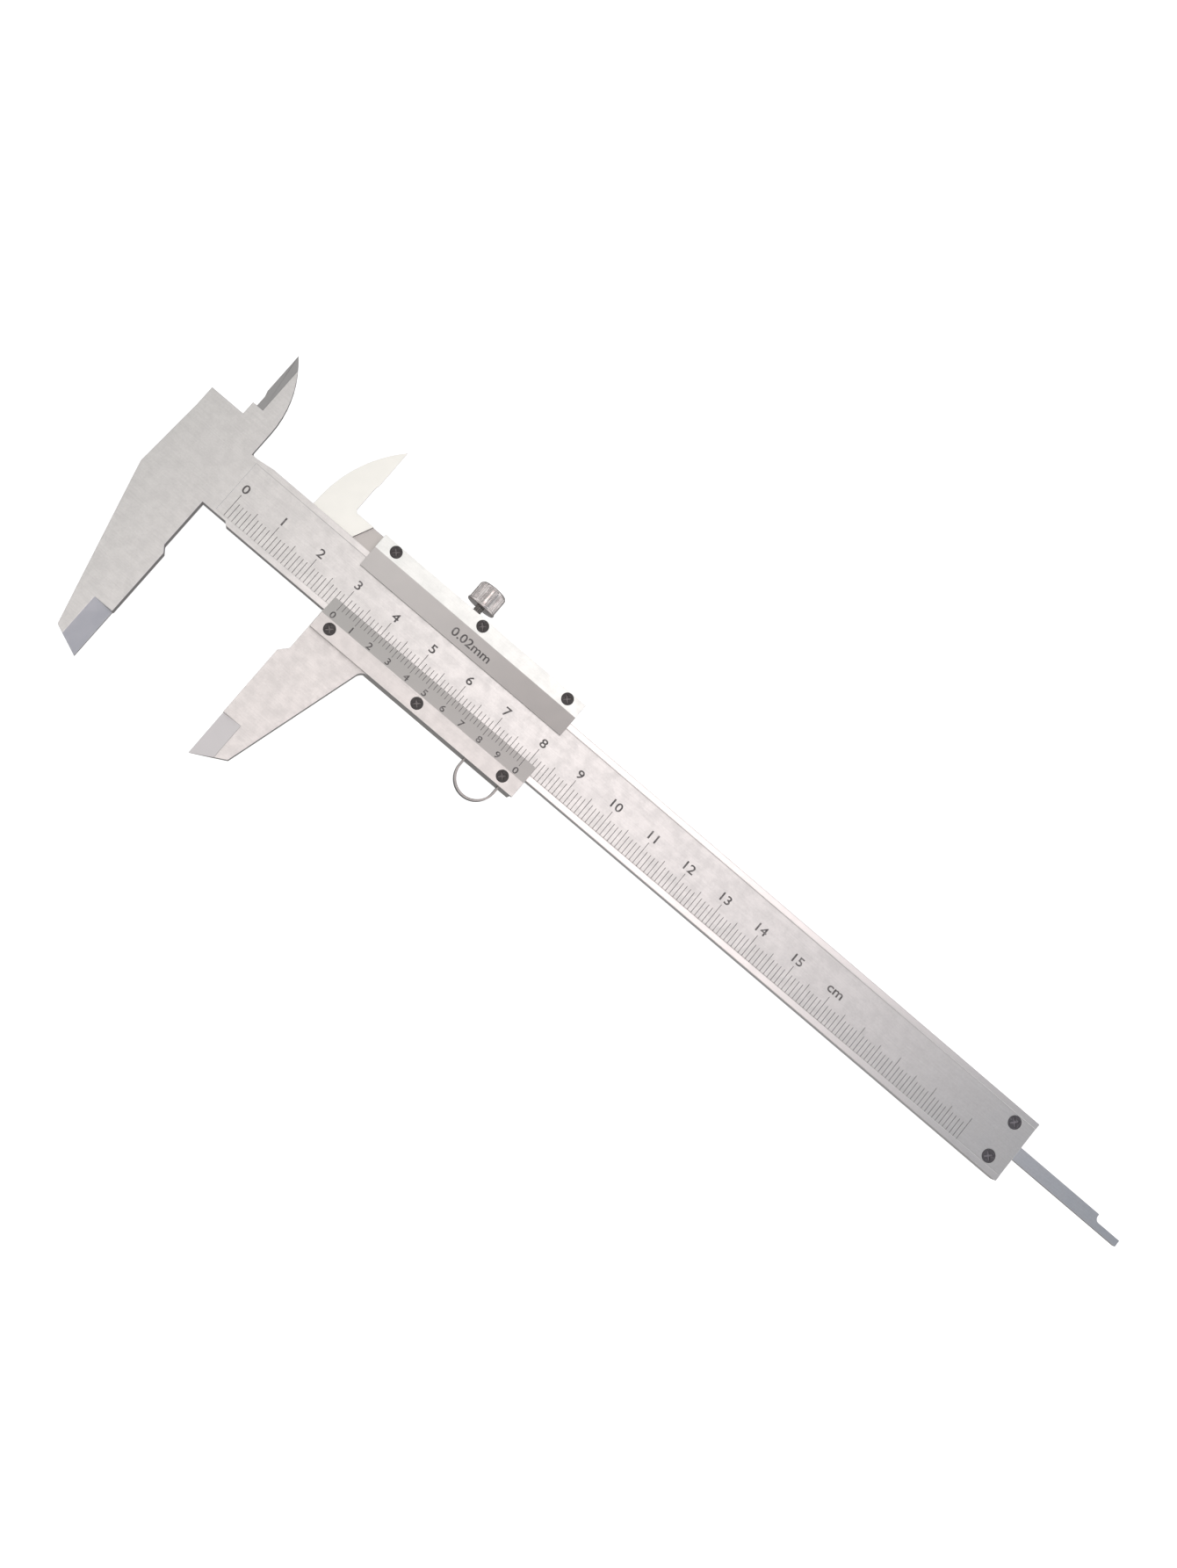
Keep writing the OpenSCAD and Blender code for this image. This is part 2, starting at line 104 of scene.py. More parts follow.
class Nodes:
    """One material's node tree, with short calls for the nodes that the finishes share."""

    def __init__(self, name):
        """Starts a material that holds only its shader and the coordinates."""
        self.material = bpy.data.materials.new(name)
        self.material.use_nodes = True
        self.tree = self.material.node_tree
        self.shader = next(n for n in self.tree.nodes if n.type == "BSDF_PRINCIPLED")
        self.coords = self.tree.nodes.new("ShaderNodeTexCoord")

    def put(self, socket, value):
        """Links a socket to another node's output, or sets it to a plain value."""
        if isinstance(value, bpy.types.NodeSocket):
            self.tree.links.new(value, socket)
        elif isinstance(value, tuple) and len(value) == 3 and socket.type == "RGBA":
            socket.default_value = (*value, 1)
        else:
            socket.default_value = value

    def math(self, operation, first, second=0.0, clamp=False):
        """One arithmetic node. clamp keeps the result from 0 to 1."""
        node = self.tree.nodes.new("ShaderNodeMath")
        node.operation = operation
        node.use_clamp = clamp
        self.put(node.inputs[0], first)
        self.put(node.inputs[1], second)
        return node.outputs[0]

    def between(self, value, low, high, to_low=0.0, to_high=1.0):
        """Maps low..high to to_low..to_high with a smooth step."""
        node = self.tree.nodes.new("ShaderNodeMapRange")
        node.interpolation_type = "SMOOTHSTEP"
        self.put(node.inputs["Value"], value)
        node.inputs["From Min"].default_value = low
        node.inputs["From Max"].default_value = high
        node.inputs["To Min"].default_value = to_low
        node.inputs["To Max"].default_value = to_high
        return node.outputs["Result"]

    def mix(self, factor, first, second, blend="MIX"):
        """Goes from the first colour to the two colours' blend as factor goes from 0 to 1."""
        node = self.tree.nodes.new("ShaderNodeMix")
        node.data_type = "RGBA"
        node.blend_type = blend
        self.put(node.inputs[MIX_FACTOR], factor)
        self.put(node.inputs[MIX_FIRST], first)
        self.put(node.inputs[MIX_SECOND], second)
        return node.outputs[MIX_RESULT]

    def position(self):
        """The x, y and z sockets of the point in the frame, in metres."""
        node = self.tree.nodes.new("ShaderNodeSeparateXYZ")
        self.put(node.inputs[0], self.coords.outputs["Object"])
        return node.outputs

    def facing_up(self):
        """How far the surface faces along Z, from 0 on a side face to 1 on the front or back."""
        node = self.tree.nodes.new("ShaderNodeSeparateXYZ")
        self.put(node.inputs[0], self.coords.outputs["Normal"])
        return self.math("ABSOLUTE", node.outputs[2])

    def noise(self, scale, detail=3.0, roughness=0.5, stretch=(1, 1, 1)):
        """Noise whose features are about 1 / scale metres, drawn out along the axes under 1."""
        mapping = self.tree.nodes.new("ShaderNodeMapping")
        mapping.inputs["Scale"].default_value = stretch
        self.put(mapping.inputs["Vector"], self.coords.outputs["Object"])
        node = self.tree.nodes.new("ShaderNodeTexNoise")
        node.inputs["Scale"].default_value = scale
        node.inputs["Detail"].default_value = detail
        node.inputs["Roughness"].default_value = roughness
        self.put(node.inputs["Vector"], mapping.outputs["Vector"])
        return node.outputs[0]

    def grey(self, level):
        """A grey colour socket from one value."""
        node = self.tree.nodes.new("ShaderNodeCombineColor")
        for channel in node.inputs:
            self.put(channel, level)
        return node.outputs[0]

    def bump(self, height, distance):
        """Raises the surface by distance where height is 1."""
        node = self.tree.nodes.new("ShaderNodeBump")
        node.inputs["Distance"].default_value = distance
        self.put(node.inputs["Height"], height)
        self.put(self.shader.inputs["Normal"], node.outputs["Normal"])

    def finish(self, colour, roughness, metallic=1.0):
        """Joins the finish to the shader and gives the material back."""
        self.put(self.shader.inputs["Base Color"], colour)
        self.put(self.shader.inputs["Roughness"], roughness)
        self.put(self.shader.inputs["Metallic"], metallic)
        return self.material


# ---------------------------------------------------------------------------
# Finishes
# ---------------------------------------------------------------------------
# Noise scales, in features per metre
BLOTCH_SCALE = 420
CLOUD_SCALE = 500
HAZE_SCALE = 700
WEAR_SCALE = 900
SPECK_SCALE = 2200
GRAIN_SCALE = 2600
BRUSH_SCALE = 4200
ALONG_BEAM = (0.03, 1, 1)
# The values that a noise takes nearly everywhere, and the narrower range that gives clear patches
NOISE_RANGE = (0.3, 0.7)
PATCH_RANGE = (0.35, 0.65)
BLOTCH_RANGE = (0.36, 0.64)
SPECK_RANGE = (0.54, 0.70)
WEAR_RANGE = (0.45, 0.75)
# Bump heights
SATIN_BUMP = 0.004 * MM
PLATED_BUMP = 0.002 * MM
OXIDE_BUMP = 0.006 * MM
SOFT_METAL_BUMP = 0.003 * MM
PAINT_BUMP = 0.003 * MM
# How far a face turns up where it changes from a side to a bevel, and from a bevel to a flat; these set
# where the painted side shade and the painted bevel tones go
SIDE_LOW, SIDE_HIGH = 0.55, 0.93
BEVEL_LOW, BEVEL_HIGH = 0.95, 0.992

BEAM_TONE = (0.77, 0.762, 0.752)
# Painted shade on the side faces; on the beam it turns to paler painted light farther along
SIDE_SHADE = (0.56, 0.53, 0.52)
PAINTED_LIT_SIDE = (0.97, 0.95, 0.94)
PALE_SIDE_START, PALE_SIDE_END = 40 * MM, 120 * MM
# Painted light and shade on the jaws' tilted bevels, by which way they face: a pale tone on the outside
# jaws, dark shade on the inside jaws
JAW_BEVEL_LIGHT = (0.75, 0.745, 0.78)
INSIDE_BEVEL_SHADE = (0.25, 0.25, 0.25)
LAND_TONE = (0.93, 0.905, 0.89)
LAND_FADE = 75 * MM
LAND_AT_END = 0.2
LAND_POLISH = 0.05
LEVEL_SLACK = 0.05 * MM
STEP_W = 0.2 * MM
# Painted shade in the corner beside each land and along the beam's outer edges
PAINTED_EDGE_SHADE = (0.34, 0.31, 0.30)
LINE_BESIDE_LAND = 0.22 * MM
LINE_SHADE_STRENGTH = 0.5
RIM_W = 0.15 * MM
RIM_SHADE_STRENGTH = 0.45

SLIDER_TONE = (0.81, 0.785, 0.77)
# Painted shade on the slider's side faces
SLIDER_SIDE_SHADE = (0.62, 0.59, 0.57)
# Painted highlight on the slider's tilted bevel faces
SLIDER_BEVEL_HIGHLIGHT = (0.95, 0.90, 0.92)
INSIDE_JAW_TONE = (0.99, 1.0, 0.95)
INSIDE_JAW_GAP = 0.3 * MM
# Painted shade in the pocket beside the inside jaw's root
POCKET_SHADE = (0.60, 0.58, 0.56)
POCKET_Z = -0.9 * MM
POCKET_SLACK = 0.2 * MM

VERNIER_TONE = (0.76, 0.735, 0.72)
# Painted shade on the vernier plate's bevel, one tone at the head's end and one at the far end
VERNIER_BEVEL_SHADE = ((0.59, 0.575, 0.56), (0.61, 0.585, 0.57))
UPPER_TONE = (0.95, 0.975, 0.95)
# Painted shade on the upper plate's bevel, one tone at the head's end and one at the far end
UPPER_BEVEL_SHADE = ((0.70, 0.68, 0.665), (0.555, 0.533, 0.52))
BEVEL_EDGE_W = 0.05 * MM

STOP_TONE = (0.70, 0.70, 0.69)
ROD_TONE = (0.68, 0.70, 0.735)
RING_TONE = (0.36, 0.35, 0.345)
# Painted shade on the thumb ring's side faces
RING_SIDE_SHADE = (0.30, 0.29, 0.28)
STEM_TONE = (0.52, 0.51, 0.50)
# Painted shade on the lock screw stem's side faces
STEM_SIDE_SHADE = (0.42, 0.41, 0.40)
KNOB_TONE = (0.80, 0.75, 0.735)
KNOB_HAZE = (0.64, 0.59, 0.58)
PLATE_BLACK = (0.08, 0.074, 0.074)
END_BLACK = (0.12, 0.115, 0.125)
SPECK_GAIN = 2.2
RECESS_GAIN = 3
RECESS_LOW, RECESS_HIGH = 0.1 * MM, 0.2 * MM
OXIDE_METALLIC = 0.75
BRONZE_TONES = ((0.72, 0.50, 0.26), (0.55, 0.37, 0.20))
BRASS_TONES = ((0.80, 0.62, 0.30), (0.62, 0.47, 0.24))
PAINT_TONE = (0.12, 0.11, 0.11)
WORN_PAINT = (0.32, 0.30, 0.30)
FLOOR_SCALE = 2
FLOOR_TONES = ((0.90, 0.90, 0.90), (0.92, 0.92, 0.92))
FLOOR_GLOW = 0.72


def satin(nodes, tone, variation, roughness):
    """Satin steel: soft blotches and a fine grain in tone and roughness, and a shallow bump."""
    blotch = nodes.noise(BLOTCH_SCALE, detail=5, roughness=0.68)
    grain = nodes.noise(GRAIN_SCALE, detail=2)
    brush = nodes.noise(BRUSH_SCALE, detail=1, stretch=ALONG_BEAM)
    spread = nodes.between(blotch, *BLOTCH_RANGE)
    darker = tuple(channel * (1 - variation) for channel in tone)
    colour = nodes.mix(spread, tone, darker)
    texture = nodes.math("ADD", grain, brush)
    fine = nodes.math("MULTIPLY", nodes.math("SUBTRACT", texture, 1.0), 2 * variation)
    level = nodes.math("ADD", fine, 1.0)
    colour = nodes.mix(1.0, colour, nodes.grey(level), "MULTIPLY")
    rough = nodes.between(blotch, *NOISE_RANGE, roughness - 0.02, roughness + 0.03)
    nodes.bump(nodes.math("ADD", brush, nodes.math("MULTIPLY", grain, 0.6)), SATIN_BUMP)
    return colour, rough


def darken_sides(nodes, colour, side=SIDE_SHADE):
    """Paints shade on the narrow side faces, which come out much darker than the satin faces."""
    return nodes.mix(nodes.between(nodes.facing_up(), SIDE_LOW, SIDE_HIGH), side, colour)


def beam_steel():
    """Satin scale face between two bright ground lands, with a fine dark line of painted shade beside
    each and along the outer edges, painted light and shade on the jaws' bevels, and painted shade on the
    side faces.
    """
    nodes = Nodes("beam_steel")
    x, y, z = nodes.position()
    colour, rough = satin(nodes, BEAM_TONE, variation=0.07, roughness=0.34)
    off_centre = nodes.math("ABSOLUTE", nodes.math("SUBTRACT", y, CENTRE_Y))
    border = BEAM_HALF_W - LAND_W
    rising = nodes.between(x, LAND_START, LAND_START + LAND_FADE)
    falling = nodes.between(x, BEAM_END - LAND_FADE, BEAM_END, 1, LAND_AT_END)
    front = nodes.math("GREATER_THAN", z, 0.0)
    past_head = nodes.math("MULTIPLY", nodes.math("MULTIPLY", rising, falling), front)
    raised = nodes.math("GREATER_THAN", z, SCALE_Z + LEVEL_SLACK)
    outer = nodes.math("GREATER_THAN", off_centre, border)
    land = nodes.math("MULTIPLY", nodes.math("MULTIPLY", raised, outer), past_head)
    colour = nodes.mix(land, colour, LAND_TONE)
    rough = nodes.math("SUBTRACT", rough, nodes.math("MULTIPLY", land, LAND_POLISH))
    # Painted shade in the corner where the scale face meets each land
    line_in = nodes.math("GREATER_THAN", off_centre, border - LINE_BESIDE_LAND)
    line_out = nodes.math("LESS_THAN", off_centre, border)
    line = nodes.math("MULTIPLY", nodes.math("MULTIPLY", line_in, line_out), past_head)
    colour = nodes.mix(nodes.math("MULTIPLY", line, LINE_SHADE_STRENGTH), colour, PAINTED_EDGE_SHADE)
    # Painted shade along the beam's outer edges
    rim = nodes.math("GREATER_THAN", off_centre, BEAM_HALF_W - RIM_W)
    rim = nodes.math("MULTIPLY", rim, past_head)
    colour = nodes.mix(nodes.math("MULTIPLY", rim, RIM_SHADE_STRENGTH), colour, PAINTED_EDGE_SHADE)
    # Painted light and shade on the jaws' tilted bevel faces
    bevel = nodes.between(nodes.facing_up(), BEVEL_LOW, BEVEL_HIGH, 1, 0)
    bevel_tone = nodes.mix(nodes.math("GREATER_THAN", y, CENTRE_Y), JAW_BEVEL_LIGHT, INSIDE_BEVEL_SHADE)
    # Only the jaws have bevels, and they lie before the origin
    on_beam = nodes.math("GREATER_THAN", x, 0.0)
    bevel = nodes.math("SUBTRACT", bevel, on_beam, clamp=True)
    colour = nodes.mix(bevel, colour, bevel_tone)
    # Painted shade on the beam's side faces, which turns to paler painted light farther along the beam
    side = nodes.mix(nodes.between(x, PALE_SIDE_START, PALE_SIDE_END), SIDE_SHADE, PAINTED_LIT_SIDE)
    # The low step where the scale face starts keeps the face's tone instead of the painted side shade
    from_step = nodes.math("ABSOLUTE", nodes.math("SUBTRACT", x, LAND_START))
    step = nodes.math("MULTIPLY", nodes.math("LESS_THAN", from_step, STEP_W), front)
    side = nodes.mix(step, side, colour)
    return nodes.finish(darken_sides(nodes, colour, side), rough)


def slider_steel():
    """Satin steel, with a paler ground inside jaw, painted shade in the pocket beside its root, a
    painted highlight on the tilted bevel faces, and painted shade on the side faces.
    """
    nodes = Nodes("slider_steel")
    x, y, z = nodes.position()
    colour, rough = satin(nodes, SLIDER_TONE, variation=0.065, roughness=0.38)
    blade = nodes.math("GREATER_THAN", y, UPPER_HIGH.y + INSIDE_JAW_GAP)
    beside_plate = nodes.math("LESS_THAN", x, UPPER_LOW.x)
    root = nodes.math("MULTIPLY", nodes.math("GREATER_THAN", y, CENTRE_Y), beside_plate)
    colour = nodes.mix(nodes.math("MAXIMUM", blade, root), colour, INSIDE_JAW_TONE)
    # Painted shade in the pocket beside the root
    floor_low = nodes.math("GREATER_THAN", z, POCKET_Z - POCKET_SLACK)
    floor_high = nodes.math("LESS_THAN", z, POCKET_Z + POCKET_SLACK)
    pocket = nodes.math("MULTIPLY", nodes.math("MULTIPLY", floor_low, floor_high), root)
    colour = nodes.mix(pocket, colour, POCKET_SHADE)
    # Painted highlight on the tilted bevel faces
    bevel = nodes.between(nodes.facing_up(), BEVEL_LOW, BEVEL_HIGH, 1, 0)
    colour = nodes.mix(bevel, colour, SLIDER_BEVEL_HIGHLIGHT)
    return nodes.finish(darken_sides(nodes, colour, SLIDER_SIDE_SHADE), rough)


def plate_steel(name, tone, flat, bevel_shades):
    """Bright flat along the plate's outer edge, and painted shade on the bevel beside the window, with
    one tone at the head's end and one at the far end, and painted shade on the side faces."""
    nodes = Nodes(name)
    x, y, _ = nodes.position()
    colour, rough = satin(nodes, tone, variation=0.04, roughness=0.38)
    off_centre = nodes.math("ABSOLUTE", nodes.math("SUBTRACT", y, CENTRE_Y))
    bevel = nodes.between(off_centre, flat - BEVEL_EDGE_W, flat + BEVEL_EDGE_W, 1, 0)
    along = nodes.between(x, UPPER_LOW.x, UPPER_HIGH.x)
    # Painted shade on the bevel, changing along the plate
    colour = nodes.mix(bevel, colour, nodes.mix(along, *bevel_shades))
    return nodes.finish(darken_sides(nodes, colour), rough)


def plain_steel(name, tone, roughness, side=SIDE_SHADE):
    """Satin steel of one tone, with painted shade on the side faces."""
    nodes = Nodes(name)
    colour, rough = satin(nodes, tone, variation=0.06, roughness=roughness)
    return nodes.finish(darken_sides(nodes, colour, side), rough)


def bright_nickel():
    """Polished plating, dulled where the fingers reach."""
    nodes = Nodes("bright_nickel")
    haze = nodes.noise(HAZE_SCALE)
    grain = nodes.noise(GRAIN_SCALE)
    colour = nodes.mix(nodes.between(haze, *PATCH_RANGE), KNOB_TONE, KNOB_HAZE)
    nodes.bump(grain, PLATED_BUMP)
    return nodes.finish(colour, nodes.between(haze, *NOISE_RANGE, 0.16, 0.30))


def black_oxide(name, tone, face_z):
    """Blackened screws, with the metal showing in paler specks and in the worn cross recess."""
    nodes = Nodes(name)
    speck = nodes.noise(SPECK_SCALE, roughness=0.7)
    worn = nodes.between(speck, *SPECK_RANGE)
    depth = nodes.math("ABSOLUTE", nodes.math("SUBTRACT", nodes.position()[2], face_z))
    recess = nodes.between(depth, RECESS_LOW, RECESS_HIGH)
    colour = nodes.mix(worn, tone, tuple(SPECK_GAIN * channel for channel in tone))
    colour = nodes.mix(recess, colour, tuple(RECESS_GAIN * channel for channel in tone))
    nodes.bump(speck, OXIDE_BUMP)
    rough = nodes.between(speck, *NOISE_RANGE, 0.38, 0.55)
    return nodes.finish(colour, rough, OXIDE_METALLIC)


def warm_metal(name, tone, worn_tone):
    """Bronze or brass, clouded between two tones."""
    nodes = Nodes(name)
    cloud = nodes.noise(CLOUD_SCALE, detail=4, roughness=0.6)
    colour = nodes.mix(nodes.between(cloud, *PATCH_RANGE), tone, worn_tone)
    nodes.bump(nodes.noise(GRAIN_SCALE), SOFT_METAL_BUMP)
    return nodes.finish(colour, nodes.between(cloud, *NOISE_RANGE, 0.28, 0.42))


def engraving_paint():
    """Dark paint in the engraved marks, thinned in places by wear."""
    nodes = Nodes("engraving_paint")
    wear = nodes.noise(WEAR_SCALE, roughness=0.65)
    colour = nodes.mix(nodes.between(wear, *WEAR_RANGE), PAINT_TONE, WORN_PAINT)
    nodes.bump(wear, PAINT_BUMP)
    rough = nodes.between(wear, *NOISE_RANGE, 0.5, 0.7)
    return nodes.finish(colour, rough, metallic=0.0)


def studio_floor():
    """Plain white floor, lit a little from inside so that the shadows stay faint."""
    nodes = Nodes("studio_floor")
    drift = nodes.noise(FLOOR_SCALE, detail=1)
    colour = nodes.mix(drift, *FLOOR_TONES)
    nodes.shader.inputs["Emission Color"].default_value = (1, 1, 1, 1)
    nodes.shader.inputs["Emission Strength"].default_value = FLOOR_GLOW
    rough = nodes.between(drift, 0, 1, 0.8, 0.9)
    return nodes.finish(colour, rough, metallic=0.0)


# ---------------------------------------------------------------------------
# CAD nodes: softened edges and finishes
# ---------------------------------------------------------------------------
WELD_DISTANCE = 0.0005 * MM
FLAT_ANGLE = 0.5
EDGE_SEGMENTS = 2
# Least turn, in degrees, of an edge that is broken: low for a shallow bevel's edge, and high for
# a round side, whose facets stay whole
SHALLOW_EDGE = 12
BEVELLED_PLATE_EDGE = 8
CLEAR_EDGE = 35


def soften(node, width, angle):
    """Breaks a CAD node's sharp edges by width. Modifiers do it, so no point of the node moves."""
    node.data.polygons.foreach_set("use_smooth", [True] * len(node.data.polygons))
    weld = node.modifiers.new("weld", "WELD")
    weld.merge_threshold = WELD_DISTANCE
    flat = node.modifiers.new("flat_faces", "DECIMATE")
    flat.decimate_type = "DISSOLVE"
    flat.angle_limit = math.radians(FLAT_ANGLE)
    bevel = node.modifiers.new("broken_edges", "BEVEL")
    bevel.width = width
    bevel.segments = EDGE_SEGMENTS
    bevel.limit_method = "ANGLE"
    bevel.angle_limit = math.radians(angle)
    bevel.use_clamp_overlap = False
    bevel.harden_normals = True
    normals = node.modifiers.new("normals", "WEIGHTED_NORMAL")
    normals.keep_sharp = True


def dress(name, material, width, angle=30):
    """Gives a CAD node its finish, and breaks its edges by width."""
    node = frame["nodes"][name]
    node.data.materials.clear()
    node.data.materials.append(material)
    soften(node, width, angle)


def dress_cad_nodes():
    """Gives every CAD node but the lock screw its finish."""
    vernier = plate_steel("vernier_steel", VERNIER_TONE, VERNIER_FLAT, VERNIER_BEVEL_SHADE)
    upper = plate_steel("upper_steel", UPPER_TONE, UPPER_FLAT, UPPER_BEVEL_SHADE)
    ring = plain_steel("ring_steel", RING_TONE, 0.3, side=RING_SIDE_SHADE)
    dress("main_beam", beam_steel(), 0.07 * MM, SHALLOW_EDGE)
    dress("slider_body", slider_steel(), 0.07 * MM, SHALLOW_EDGE)
    dress("vernier_plate", vernier, 0.06 * MM, BEVELLED_PLATE_EDGE)
    dress("upper_plate", upper, 0.06 * MM, BEVELLED_PLATE_EDGE)
    dress("end_stop_plate", plain_steel("stop_steel", STOP_TONE, 0.4), 0.12 * MM)
    dress("depth_rod", plain_steel("rod_steel", ROD_TONE, 0.36), 0.08 * MM)
    dress("thumb_ring", ring, 0.05 * MM)
    dress("lock_knob", bright_nickel(), 0.06 * MM, CLEAR_EDGE)
    dress("leaf_spring", warm_metal("spring_bronze", *BRONZE_TONES), 0.04 * MM)
    dress("lock_shoe", warm_metal("shoe_brass", *BRASS_TONES), 0.06 * MM)
    plate_black = black_oxide("plate_screw_black", PLATE_BLACK, PLATE_TOP)
    blacks = {
        "end": black_oxide("end_screw_black", END_BLACK, SCALE_Z),
        "depth": black_oxide("rod_screw_black", PLATE_BLACK, cad_bounds[0].z),
    }
    for name in frame["nodes"]:
        if "_screw_" in name:
            black = blacks.get(name.split("_")[0], plate_black)
            dress(name, black, 0.04 * MM, CLEAR_EDGE)


# ---------------------------------------------------------------------------
# Engraved scales
# ---------------------------------------------------------------------------
# Letters: stretch along x, boldness and extrusion in units of the letter's size, curve steps
LETTER_WIDTH = 1.18
LETTER_WEIGHT = 0.012
LETTER_EXTRUSION = 0.1
LETTER_STEPS = 5
# How far the paint goes into the steel, and how far it stands out
SINK = 0.03 * MM
PROUD = 0.006 * MM
MERGE_DISTANCE = 0.0002 * MM

# Main scale. Every y is measured from the beam's centre line
ZERO_X = 4 * MM
LINE_BOTTOM = -6.2 * MM
LINE_TOPS = {10: -0.75 * MM, 5: -1.5 * MM, 1: -2.45 * MM}
SCALE_LENGTH = 200
LINE_W = 0.13 * MM
LAST_NUMBER = 15
NUMBER_H = 1.95 * MM
NUMBER_Y = 0.78 * MM
UNIT_SHIFT = 0.3 * MM
UNIT_DROP = 0.1 * MM
UNIT_H = 0.72 * NUMBER_H

# Vernier scale
VERNIER_DIVISIONS = 50
VERNIER_STEP = 0.98 * MM
VERNIER_LINE_W = 0.12 * MM
VERNIER_LINE_ENDS = {5: -6.25 * MM, 1: -5.75 * MM}
VERNIER_LINE_GAP = 0.05 * MM
VERNIER_NUMBER_H = 1.5 * MM
VERNIER_NUMBER_Y = -7.45 * MM

# Resolution mark on the upper plate
MARK_X = 59.4 * MM
MARK_Y = 6.42 * MM
MARK_H = 1.9 * MM


def scale_face(_):
    """Height of the beam's scale face, which is level."""
    return SCALE_Z


def vernier_face(y):
    """Height of the vernier plate's bevel at y."""
    share = (-y - WINDOW) / (VERNIER_FLAT - WINDOW)
    low = RAIL_FRONT + VERNIER_EDGE_T
    return low + min(share, 1) * (PLATE_TOP - low)


def upper_face(y):
    """Height of the upper plate's bevel at y."""
    share = (y - WINDOW) / (UPPER_FLAT - WINDOW)
    low = RAIL_FRONT + UPPER_EDGE_T
    return low + min(share, 1) * (PLATE_TOP - low)


def add_line(mesh, x, y0, y1, width, face):
    """A closed bar across the scale, sunk into the face and just proud of it."""
    ends = []
    for y in (y0, y1):
        ends.append([
            mesh.verts.new((x + side * width / 2, CENTRE_Y + y, face(y) + height))
            for side, height in ((-1, -SINK), (1, -SINK), (1, PROUD), (-1, PROUD))
        ])
    near, away = ends
    mesh.faces.new(near)
    mesh.faces.new(list(reversed(away)))
    for i in range(4):
        j = (i + 1) % 4
        mesh.faces.new([near[j], near[i], away[i], away[j]])


def add_text(mesh, text, x, y, height, face):
    """Text of the given height, centred on x and y, laid on the face as a thin closed solid."""
    curve = bpy.data.curves.new("glyphs", "FONT")
    curve.body = text
    curve.resolution_u = LETTER_STEPS
    curve.extrude = LETTER_EXTRUSION
    curve.bevel_depth = LETTER_WEIGHT
    curve.bevel_resolution = 0
    holder = bpy.data.objects.new("glyphs", curve)
    bpy.context.scene.collection.objects.link(holder)
    bpy.context.view_layer.update()
    graph = bpy.context.evaluated_depsgraph_get()
    made = bpy.data.meshes.new_from_object(holder.evaluated_get(graph))
    bpy.data.objects.remove(holder)
    bpy.data.curves.remove(curve)
    xs = [v.co.x for v in made.vertices]
    ys = [v.co.y for v in made.vertices]
    unit = height / (max(ys) - min(ys))
    middle = Vector(((min(xs) + max(xs)) / 2, (min(ys) + max(ys)) / 2))
    for v in made.vertices:
        along = x + (v.co.x - middle.x) * unit * LETTER_WIDTH
        across = y + (v.co.y - middle.y) * unit
        lift = PROUD if v.co.z > 0 else -SINK
        v.co = (along, CENTRE_Y + across, face(across) + lift)
    mesh.from_mesh(made)
    bpy.data.meshes.remove(made)


def finish_piece(name, mesh, material, body):
    """Makes a mesh object of the built geometry and lets it ride on a body."""
    bmesh.ops.remove_doubles(mesh, verts=mesh.verts, dist=MERGE_DISTANCE)
    bmesh.ops.recalc_face_normals(mesh, faces=mesh.faces)
    data = bpy.data.meshes.new(name)
    mesh.to_mesh(data)
    mesh.free()
    data.materials.append(material)
    piece = bpy.data.objects.new(name, data)
    bpy.context.scene.collection.objects.link(piece)
    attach(piece, body)
    return piece


def main_scale(paint):
    """A line at every millimetre, longer at every fifth and tenth, and a number at every tenth."""
    lines = bmesh.new()
    for r in range(SCALE_LENGTH + 1):
        size = next(step for step in LINE_TOPS if r % step == 0)
        add_line(lines, ZERO_X + r * MM, LINE_BOTTOM, LINE_TOPS[size], LINE_W, scale_face)
    finish_piece("main_scale_lines", lines, paint, "beam")
    numbers = bmesh.new()
    for n in range(LAST_NUMBER + 1):
        add_text(numbers, str(n), ZERO_X + 10 * n * MM, NUMBER_Y, NUMBER_H, scale_face)
    unit_x = ZERO_X + 10 * (LAST_NUMBER + 1) * MM + UNIT_SHIFT
    add_text(numbers, "cm", unit_x, NUMBER_Y - UNIT_DROP, UNIT_H, scale_face)
    finish_piece("main_scale_numbers", numbers, paint, "beam")


def vernier_scale(paint):
    """Fifty divisions over 49 mm, with a longer line and a number at every fifth."""
    zero = ZERO_X + READING
    lines = bmesh.new()
    for i in range(VERNIER_DIVISIONS + 1):
        size = next(step for step in VERNIER_LINE_ENDS if i % step == 0)
        end = VERNIER_LINE_ENDS[size]
        start = -WINDOW - VERNIER_LINE_GAP
        add_line(lines, zero + i * VERNIER_STEP, end, start, VERNIER_LINE_W, vernier_face)
    finish_piece("vernier_lines", lines, paint, "slider")
    numbers = bmesh.new()
    for n in range(VERNIER_DIVISIONS // 5 + 1):
        x = zero + 5 * n * VERNIER_STEP
        add_text(numbers, str(n % 10), x, VERNIER_NUMBER_Y, VERNIER_NUMBER_H, vernier_face)
    finish_piece("vernier_numbers", numbers, paint, "slider")


def resolution_mark(paint):
    """The vernier's resolution, on the upper plate's bevel."""
    mark = bmesh.new()
    add_text(mark, "0.02mm", MARK_X, MARK_Y, MARK_H, upper_face)
    finish_piece("resolution_mark", mark, paint, "slider")


# ---------------------------------------------------------------------------
# Lock screw with a real thread
# ---------------------------------------------------------------------------
THREAD_PITCH = 0.4 * MM
THREAD_DEPTH = 0.2 * MM
RINGS_PER_TURN = 12
SIDES = 36


